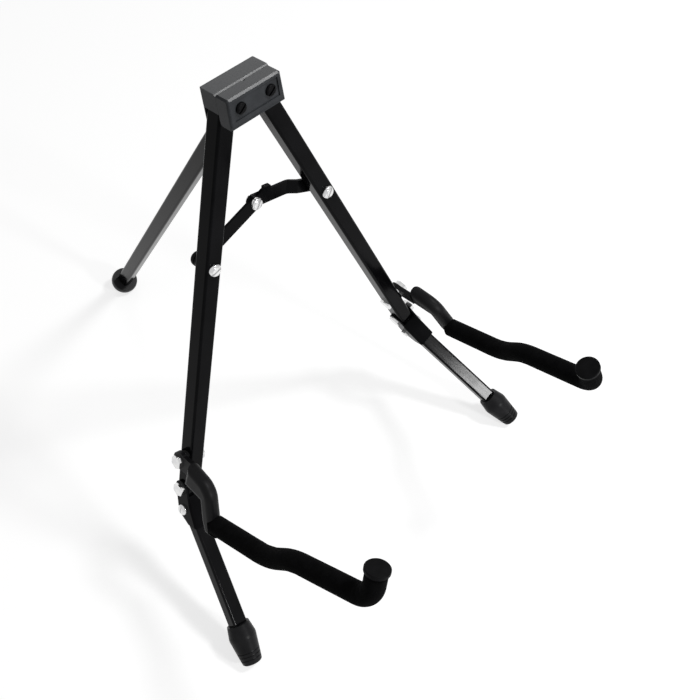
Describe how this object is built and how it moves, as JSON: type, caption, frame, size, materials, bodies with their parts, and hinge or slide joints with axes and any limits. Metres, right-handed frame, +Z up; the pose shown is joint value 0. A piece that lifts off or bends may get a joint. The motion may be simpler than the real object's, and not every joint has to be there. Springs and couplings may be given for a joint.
{
  "type": "folding guitar stand",
  "caption": "Black A-frame guitar stand: splayed tube legs and a rear prop hinged in a head block, folding spreader links, jointed feet and foam-sleeved cradle arms that swing up flat",
  "frame": {"origin": "floor level, middle of the open stand's footprint", "axes": "+Z up, -Y towards the guitar, +X to the right of someone who faces the stand from its front"},
  "size_m": [0.3364, 0.471, 0.3973],
  "materials": {
    "head_plastic": "satin moulded black",
    "leg_paint": "gloss black paint on steel",
    "arm_black": "semi-gloss black on formed steel",
    "plated": "bright zinc plate",
    "black_screw": "blackened steel",
    "rubber": "moulded black rubber",
    "foam": "closed-cell black foam sleeve"
  },
  "bodies": {
    "head": {"head_front_shell": "head_plastic", "head_rear_shell": "head_plastic", "leg_pivot_screws": "black_screw", "leg_pivot_nuts": "black_screw"},
    "left_leg": {"left_upper_tube": "leg_paint", "left_link_screw": "plated", "left_link_nut": "black_screw", "left_knuckle_bracket": "leg_paint", "left_bracket_bolt": "plated", "left_bracket_nut": "plated", "left_knee_screw": "plated", "left_knee_nut": "plated", "left_arm_bolt": "plated", "left_arm_nut": "plated", "left_arm_washer": "plated"},
    "left_lower_leg": {"left_lower_tube": "leg_paint", "left_boot": "rubber"},
    "left_arm": {"left_arm_base": "arm_black", "left_arm_rod": "plated", "left_arm_foam": "foam", "left_arm_cap": "rubber"},
    "right_leg": {"right_upper_tube": "leg_paint", "right_link_screw": "plated", "right_link_nut": "black_screw", "right_knuckle_bracket": "leg_paint", "right_bracket_bolt": "plated", "right_bracket_nut": "plated", "right_knee_screw": "plated", "right_knee_nut": "plated", "right_arm_bolt": "plated", "right_arm_nut": "plated", "right_arm_washer": "plated"},
    "right_lower_leg": {"right_lower_tube": "leg_paint", "right_boot": "rubber"},
    "right_arm": {"right_arm_base": "arm_black", "right_arm_rod": "plated", "right_arm_foam": "foam", "right_arm_cap": "rubber"},
    "left_spreader": {"left_link": "leg_paint", "mid_screw": "plated"},
    "right_spreader": {"right_link": "leg_paint", "mid_rivet": "plated"},
    "rear_leg": {"rear_tube": "leg_paint", "rear_hinge_pin": "plated", "rear_foot": "rubber"}
  },
  "joints": [
    {"name": "left_leg_fold", "type": "hinge", "parent": "head", "child": "left_leg", "pos_m": [-0.0116, 0.00355, 0.38549], "axis": [0, -0.9866, 0.1633], "range_deg": [0, 17.8]},
    {"name": "left_link_swing", "type": "hinge", "parent": "left_leg", "child": "left_spreader", "pos_m": [-0.05155, -0.0061, 0.27821], "axis": [0, -0.9866, 0.1633], "range_deg": [0, 36.83]},
    {"name": "left_knee", "type": "hinge", "parent": "left_leg", "child": "left_lower_leg", "pos_m": [-0.126, -0.05131, 0.08277], "axis": [0.9373, -0.0569, -0.3439], "range_deg": [0, 42]},
    {"name": "left_arm_fold", "type": "hinge", "parent": "left_leg", "child": "left_arm", "pos_m": [-0.11857, -0.03875, 0.13001], "axis": [0.9373, -0.0569, -0.3439], "range_deg": [-68, 0]},
    {"name": "right_leg_fold", "type": "hinge", "parent": "head", "child": "right_leg", "pos_m": [0.0116, 0.00355, 0.38549], "axis": [0, -0.9866, 0.1633], "range_deg": [-17.8, 0]},
    {"name": "right_link_swing", "type": "hinge", "parent": "right_leg", "child": "right_spreader", "pos_m": [0.05155, -0.0061, 0.27821], "axis": [0, -0.9866, 0.1633], "range_deg": [-36.83, 0]},
    {"name": "right_knee", "type": "hinge", "parent": "right_leg", "child": "right_lower_leg", "pos_m": [0.126, -0.05131, 0.08277], "axis": [0.9373, 0.0569, 0.3439], "range_deg": [0, 42]},
    {"name": "right_arm_fold", "type": "hinge", "parent": "right_leg", "child": "right_arm", "pos_m": [0.11857, -0.03875, 0.13001], "axis": [0.9373, 0.0569, 0.3439], "range_deg": [-68, 0]},
    {"name": "rear_leg_fold", "type": "hinge", "parent": "head", "child": "rear_leg", "pos_m": [0, 0.00626, 0.37247], "axis": [1, 0, 0], "range_deg": [-21, 0]}
  ],
  "couplings": [
    {"joint": "right_leg_fold", "follows": "left_leg_fold", "ratio": -1},
    {"joint": "left_link_swing", "follows": "left_leg_fold", "ratio": 2.069},
    {"joint": "right_link_swing", "follows": "left_leg_fold", "ratio": -2.069}
  ]
}
